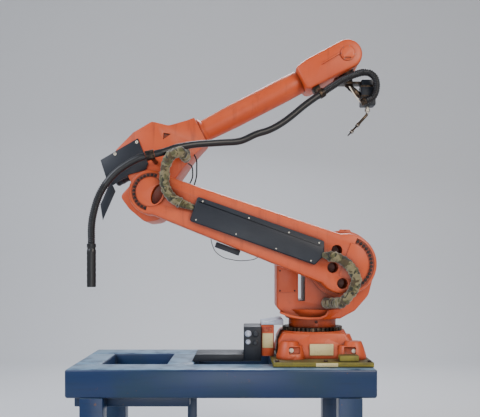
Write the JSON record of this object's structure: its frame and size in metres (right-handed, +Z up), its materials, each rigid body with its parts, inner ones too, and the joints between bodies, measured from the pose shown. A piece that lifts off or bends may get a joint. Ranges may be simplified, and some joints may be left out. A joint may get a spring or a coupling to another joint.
{
  "type": "industrial robot arm on a steel stand",
  "caption": "Long-reach six-axis industrial robot arm with a dress hose and fabric sleeves, on a painted steel stand.",
  "frame": {"origin": "on the floor, under the middle of the whole object", "axes": "+Z up, +X the way the robot faces, -Y the side with the lower arm and the hoses"},
  "size_m": [1.9818, 1.08, 2.7915],
  "materials": {
    "orange_paint": "worn semi-gloss orange enamel",
    "blue_paint": "worn navy blue enamel on steel",
    "olive_paint": "worn yellow-green paint",
    "black_plastic": "matt black moulded plastic",
    "steel": "bare machined steel",
    "dark_steel": "dark oiled steel",
    "cream": "off-white plate",
    "fabric": "camouflage-like woven sleeve",
    "hose": "black rubber hose"
  },
  "bodies": {
    "base": {"stand_front_beam": "blue_paint", "stand_rear_beam": "blue_paint", "stand_left_beam": "blue_paint", "stand_middle_beam": "blue_paint", "stand_right_beam": "blue_paint", "stand_robot_beam": "blue_paint", "stand_leg_front_left": "blue_paint", "stand_leg_front_right": "blue_paint", "stand_leg_rear_left": "blue_paint", "stand_leg_rear_right": "blue_paint", "stand_middle_post": "blue_paint", "stand_lower_rail": "blue_paint", "riser_plate": "olive_paint", "base_casting": "orange_paint", "slew_ring": "dark_steel", "connector_box": "orange_paint", "connector_lid": "cream", "cable_entry_box": "black_plastic"},
    "turret": {"turret_casting": "orange_paint", "shoulder_gearbox": "orange_paint", "axis_1_motor": "black_plastic", "axis_2_motor": "black_plastic"},
    "lower_arm": {"lower_arm_casting": "orange_paint", "cable_cover": "black_plastic", "shoulder_hub_plate": "orange_paint", "elbow_hub_plate": "orange_paint", "arm_cable_clip": "black_plastic", "shoulder_sleeve": "fabric"},
    "upper_arm": {"elbow_housing": "orange_paint", "elbow_gearbox": "orange_paint", "axis_3_motor": "black_plastic", "wrist_motor_1": "black_plastic", "wrist_motor_2": "black_plastic", "side_plate": "black_plastic", "side_plate_flap": "black_plastic", "elbow_hose_bracket": "dark_steel", "hose_hanging": "hose", "hose_end_sleeve": "hose", "hose_forearm_run": "hose", "elbow_sleeve": "fabric"},
    "forearm": {"forearm_tube": "orange_paint", "wrist_fork": "orange_paint", "wrist_cap": "orange_paint", "fork_hose_bracket": "dark_steel", "fork_hose_clamp": "dark_steel", "hose_wrist_loop": "hose"},
    "wrist": {"wrist_tilt_body": "dark_steel"},
    "tool": {"tool_flange": "steel", "tool_plate": "dark_steel", "tool_cylinder": "dark_steel", "tool_body": "black_plastic", "tool_fitting": "steel"}
  },
  "joints": [
    {"name": "axis_1", "type": "hinge", "parent": "base", "child": "turret", "pos_m": [0.569, 0, 0.707], "axis": [0, 0, 1], "range_deg": [-180, 180]},
    {"name": "axis_2", "type": "hinge", "parent": "turret", "child": "lower_arm", "pos_m": [0.739, 0, 1.312], "axis": [0, 1, 0], "range_deg": [0, 155], "deforming": ["shoulder_sleeve"]},
    {"name": "axis_3", "type": "hinge", "parent": "lower_arm", "child": "upper_arm", "pos_m": [-0.46509, 0, 1.75502], "axis": [0, -1, 0], "range_deg": [-25, 190], "deforming": ["elbow_sleeve"]},
    {"name": "axis_4", "type": "hinge", "parent": "upper_arm", "child": "forearm", "pos_m": [-0.58342, 0, 1.98428], "axis": [0.8886, 0, 0.4586], "range_deg": [-180, 180], "deforming": ["hose_forearm_run"]},
    {"name": "axis_5", "type": "hinge", "parent": "forearm", "child": "wrist", "pos_m": [0.79127, 0, 2.69381], "axis": [0, -1, 0], "range_deg": [-5, 150], "deforming": ["hose_wrist_loop"]},
    {"name": "axis_6", "type": "hinge", "parent": "wrist", "child": "tool", "pos_m": [0.79127, 0, 2.69381], "axis": [0, 0, -1], "range_deg": [-90, 90]}
  ]
}
